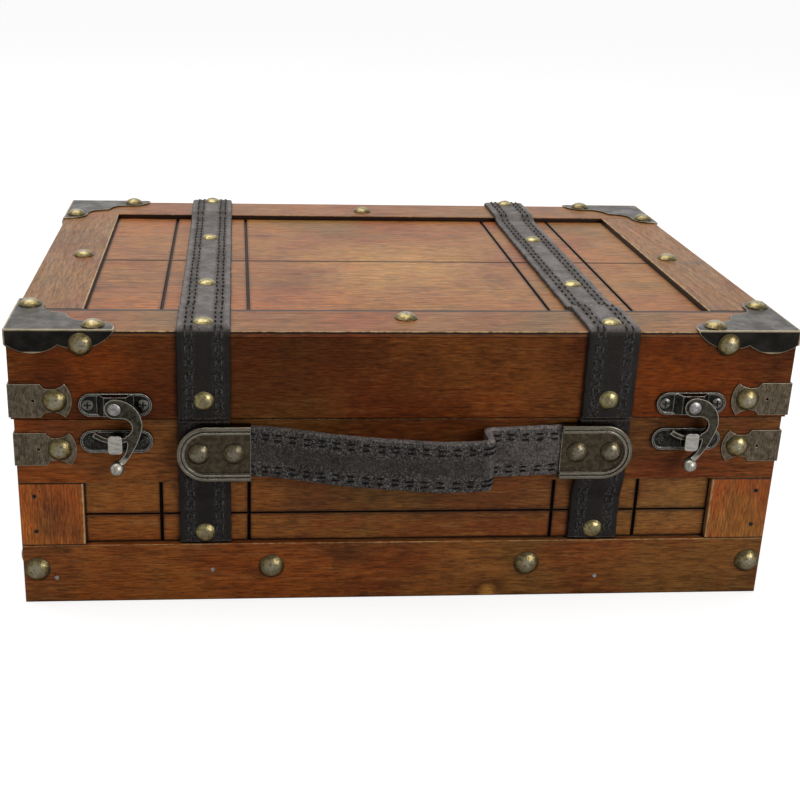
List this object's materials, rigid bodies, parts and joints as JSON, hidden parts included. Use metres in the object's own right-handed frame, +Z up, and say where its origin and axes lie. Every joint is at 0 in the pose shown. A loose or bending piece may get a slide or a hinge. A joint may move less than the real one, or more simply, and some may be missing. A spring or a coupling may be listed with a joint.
{
  "type": "suitcase box",
  "caption": "Small wooden box shaped like a suitcase, for papers and keepsakes, with a hinged lid, leather straps and handle, swing latches and metal corners.",
  "frame": {"origin": "middle of the underside of the box", "axes": "+X along the front to the right as seen from the front, +Y from the front to the back, +Z up"},
  "size_m": [0.337, 0.2652, 0.1293],
  "materials": {
    "stained_wood": "reddish brown stain, worn to pale wood at the edges",
    "strap_leather": "charcoal leather, scuffed, stitched along both edges",
    "antique_brass": "dark patina with rubbed bright edges",
    "worn_nickel": "worn plating, satin",
    "black_iron": "blackened"
  },
  "bodies": {
    "base": {"base_bottom_board": "stained_wood", "base_front_wall": "stained_wood", "base_front_bottom_rail": "stained_wood", "base_front_top_rail": "stained_wood", "base_front_end_blocks": "stained_wood", "base_back_wall": "stained_wood", "base_back_bottom_rail": "stained_wood", "base_back_top_rail": "stained_wood", "base_back_end_blocks": "stained_wood", "base_left_wall": "stained_wood", "base_left_bottom_rail": "stained_wood", "base_left_top_rail": "stained_wood", "base_left_end_blocks": "stained_wood", "base_right_wall": "stained_wood", "base_right_bottom_rail": "stained_wood", "base_right_top_rail": "stained_wood", "base_right_end_blocks": "stained_wood", "base_strap_front_left": "strap_leather", "base_strap_front_right": "strap_leather", "base_strap_back_left": "strap_leather", "base_strap_back_right": "strap_leather", "base_corner_clips": "antique_brass", "base_dome_nails": "antique_brass", "base_strap_nails": "antique_brass", "base_brads": "black_iron", "base_screws": "black_iron", "keeper_left": "worn_nickel", "keeper_right": "worn_nickel", "hinge_base_leaves": "antique_brass", "hinge_pins": "antique_brass", "handle_strap": "strap_leather", "handle_plate_left": "antique_brass", "handle_plate_right": "antique_brass", "handle_rivets": "antique_brass"},
    "lid": {"lid_front_wall": "stained_wood", "lid_back_wall": "stained_wood", "lid_left_wall": "stained_wood", "lid_right_wall": "stained_wood", "lid_top_board": "stained_wood", "lid_front_frame_rail": "stained_wood", "lid_back_frame_rail": "stained_wood", "lid_left_frame_stile": "stained_wood", "lid_right_frame_stile": "stained_wood", "lid_strap_left": "strap_leather", "lid_strap_right": "strap_leather", "lid_corner_protector_front_left": "antique_brass", "lid_corner_protector_front_right": "antique_brass", "lid_corner_protector_back_left": "antique_brass", "lid_corner_protector_back_right": "antique_brass", "lid_corner_clips": "antique_brass", "lid_dome_nails": "antique_brass", "lid_strap_nails": "antique_brass", "lid_screws": "black_iron", "latch_plate_left": "worn_nickel", "latch_plate_right": "worn_nickel", "latch_rivets": "worn_nickel", "hinge_lid_leaves": "antique_brass"},
    "hook_left": {"hook_left": "worn_nickel"},
    "hook_right": {"hook_right": "worn_nickel"}
  },
  "joints": [
    {"name": "lid_hinge", "type": "hinge", "parent": "base", "child": "lid", "pos_m": [0, 0.1232, 0.0862], "axis": [-1, 0, 0], "range_deg": [0, 105]},
    {"name": "hook_left_swing", "type": "hinge", "parent": "lid", "child": "hook_left", "pos_m": [-0.1219, -0.125, 0.0932], "axis": [0, -1, 0], "range_deg": [0, 170]},
    {"name": "hook_right_swing", "type": "hinge", "parent": "lid", "child": "hook_right", "pos_m": [0.1219, -0.125, 0.0932], "axis": [0, -1, 0], "range_deg": [0, 170]}
  ]
}
